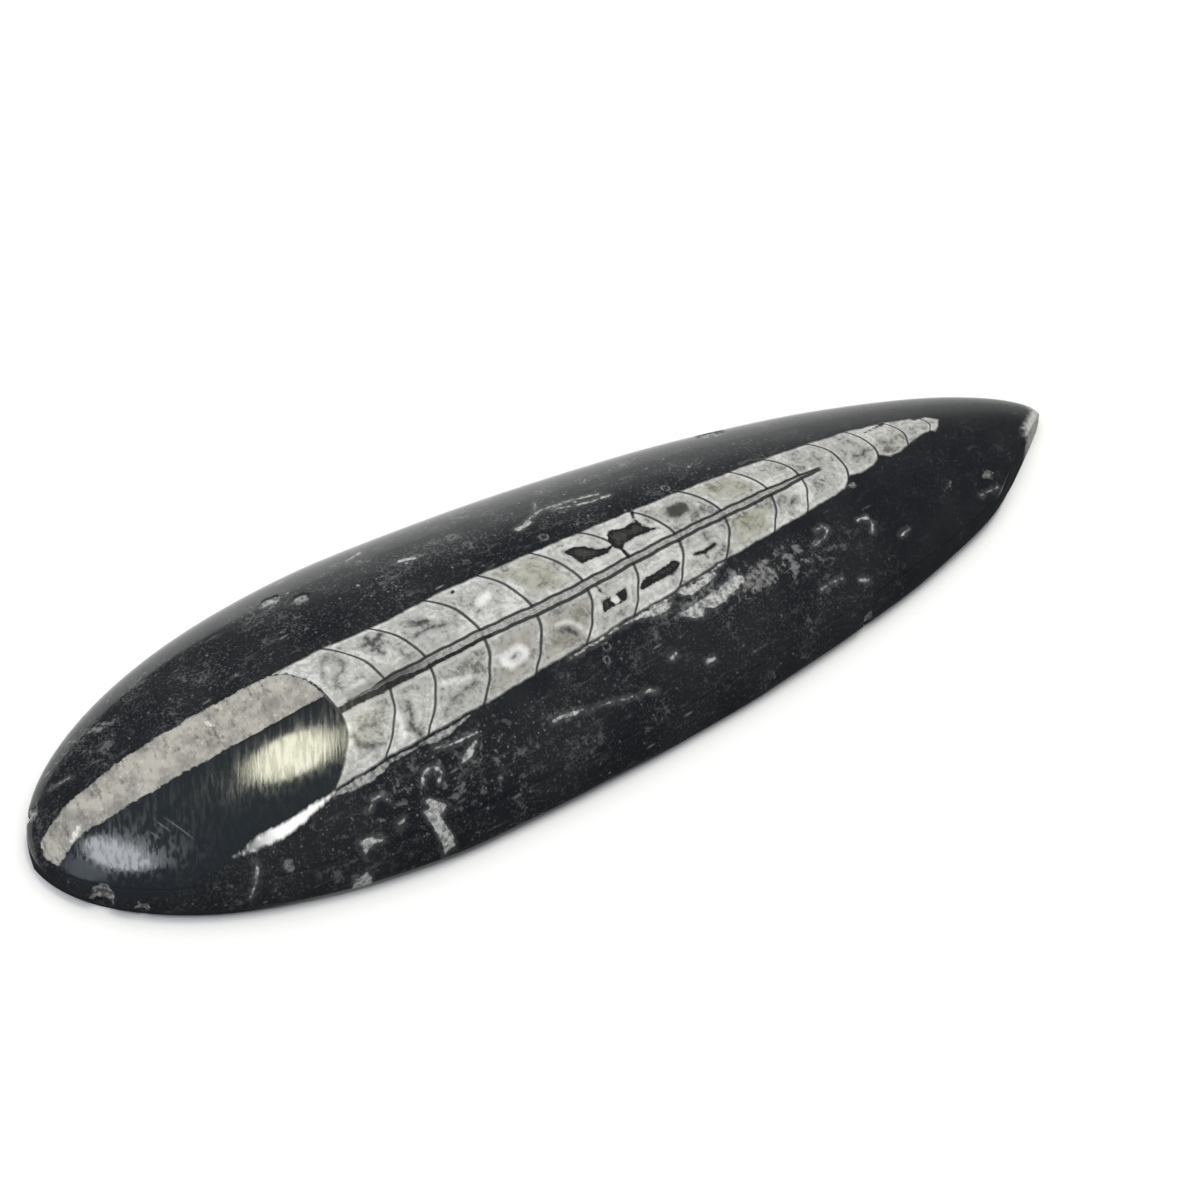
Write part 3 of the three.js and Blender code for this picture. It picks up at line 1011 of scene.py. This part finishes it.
def stone_material(name, shine):
    """The same stone with one of its two finishes."""
    material = bpy.data.materials.new(name)
    material.use_nodes = True
    tree = material.node_tree
    tree.nodes.clear()
    paint = Painter(tree)

    ragged = paint.grain(0.7, detail=4, roughness=0.6, shift=41) - 0.5
    streaky = paint.grain(0.5, detail=3, stretch=(1, 0.12, 1), turn=28, shift=42)
    crumbs = paint.grain(0.55, detail=4, shift=43)
    in_chambers = (paint.field("cone") + ragged * 0.3).step(0.07, -0.07)
    wear = wear_shares(paint, ragged)
    colour = fossil_colour(paint, ragged, crumbs, streaky, in_chambers)
    colour = wear_and_lit_foot_colour(paint, wear, crumbs, colour)

    bump = add_node(tree, "Bump", {"Distance": MM, "Height": stone_bump(paint, wear, crumbs)})
    inputs = {
        "IOR": 1.52,
        "Specular IOR Level": shine,
        "Base Color": colour,
        "Roughness": stone_roughness(paint, wear, streaky, in_chambers),
        "Normal": bump.outputs["Normal"],
    }
    shader = add_node(tree, "BsdfPrincipled", inputs)
    add_node(tree, "OutputMaterial", {"Surface": shader.outputs[0]})
    return material


# ---- the studio


# Where the camera stands and looks, and which way is up in its picture
CAMERA_PLACE = (-164.4, -153.1, 312.4)
CAMERA_AIM = (2.0, 0.0, 5.0)
CAMERA_UP = (0.43, 0.8, 0.42)
CAMERA_LENS = 92.0

# The floor and the lights, in metres
FLOOR_REACH = 3.0
FLOOR_GAP = 0.00005
FLOOR_GREY = 0.62
LIGHT_REACH = 1.3


def look(place, aim, up):
    """A rotation whose -Z points from place to aim, with up as near to +Y as it can be."""
    back = (Vector(place) - Vector(aim)).normalized()
    right = Vector(up).cross(back).normalized()
    above = back.cross(right)
    return Matrix((right, above, back)).transposed().to_4x4()


def build_camera():
    """The camera at the photograph's viewing angle."""
    camera = add_object("camera", bpy.data.cameras.new("camera"))
    camera.data.lens = CAMERA_LENS
    camera.data.clip_start, camera.data.clip_end = 0.01, 20
    place = Matrix.Translation(Vector(CAMERA_PLACE) * MM)
    camera.matrix_world = place @ look(CAMERA_PLACE, CAMERA_AIM, CAMERA_UP)
    bpy.context.scene.camera = camera


def build_floor():
    """A plain pale table top, just below the slab."""
    mesh = bpy.data.meshes.new("floor")
    corners = [(x * FLOOR_REACH, y * FLOOR_REACH, 0) for x, y in ((-1, -1), (1, -1), (1, 1), (-1, 1))]
    mesh.from_pydata(corners, [], [(0, 1, 2, 3)])
    floor = add_object("floor", mesh)
    floor.location.z = -FLOOR_GAP
    material = bpy.data.materials.new("white_table")
    material.use_nodes = True
    shader = material.node_tree.nodes["Principled BSDF"]
    shader.inputs["Base Color"].default_value = (FLOOR_GREY, FLOOR_GREY, FLOOR_GREY, 1)
    shader.inputs["Roughness"].default_value = 0.9
    shader.inputs["Specular IOR Level"].default_value = 0.1
    mesh.materials.append(material)


def area_light(name, direction, size, radiance, colour, up=(0.0, 1.0, 0.1)):
    """A flat oval light in that direction from the slab, and facing it. Radiance 1 is a white surface."""
    data = bpy.data.lights.new(name, "AREA")
    data.shape = "ELLIPSE"
    data.size, data.size_y = size
    data.energy = radiance * math.pi * math.pi / 4 * size[0] * size[1]
    data.color = colour
    light = add_object(name, data)
    place = Vector(direction).normalized() * LIGHT_REACH
    light.matrix_world = Matrix.Translation(place) @ look(place, (0, 0, 0), up)
    return light


def build_lights():
    """A soft fill that the polish doesn't mirror, and the lamp and window that it does."""
    fill = area_light("ceiling_fill", (0.1, 0.2, 1.0), (2.0, 2.0), 2.6, (0.985, 0.985, 1.0))
    fill.visible_glossy = False
    area_light("warm_lamp", (0.08, 0.093, 0.99), (0.23, 0.42), 21, (1.0, 0.985, 0.76))
    area_light("window", (-0.6, -0.128, 1.0), (0.33, 0.88), 10, (0.92, 0.95, 1.0), up=(-0.1, 0.99, 0.06))
    area_light("window_edge", (-0.76, -0.17, 0.62), (0.5, 0.66), 1.5, (0.8, 0.88, 1.0))


# The pale side of the room: its brightness by how high a direction points, from the horizon up
ROOM_PALE_SIDE = [(0.0, 0.85), (0.2, 0.68), (0.34, 0.3), (0.47, 0.12), (1.0, 0.09)]
ROOM_DARK_SIDE = 0.11
TOWARDS_PALE_SIDE = [0.82, 0.57, 0.0]


def build_world():
    """A dim room with a pale wall low down on the side away from the camera."""
    world = bpy.data.worlds.new("room")
    bpy.context.scene.world = world
    world.use_nodes = True
    tree = world.node_tree
    heading = add_node(tree, "TexCoord").outputs["Generated"]
    height = add_node(tree, "SeparateXYZ", {0: heading}).outputs["Z"]
    ramp = add_node(tree, "ValToRGB", {"Fac": height})
    stops = ramp.color_ramp.elements
    for number, (place, grey) in enumerate(ROOM_PALE_SIDE):
        stop = stops[number] if number < 2 else stops.new(place)
        stop.position, stop.color = place, (grey, grey, grey * 0.98, 1)

    inputs = {0: heading, 1: TOWARDS_PALE_SIDE}
    facing = add_node(tree, "VectorMath", inputs, operation="DOT_PRODUCT").outputs["Value"]
    dark = (ROOM_DARK_SIDE,) * 3
    inputs = {0: Value(tree, facing).step(0.68, 0.86), 6: dark, 7: ramp.outputs["Color"]}
    walls = add_node(tree, "Mix", inputs, data_type="RGBA").outputs[2]
    tree.links.new(walls, tree.nodes["Background"].inputs["Color"])


slab = build_slab()
slab.data.materials.append(stone_material("polished_limestone", shine=0.5))
slab.data.materials.append(stone_material("ground_limestone", shine=0.12))
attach(slab, "root")
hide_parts(NODE)

build_camera()
build_floor()
build_lights()
build_world()
bpy.context.scene.view_settings.view_transform = "Standard"
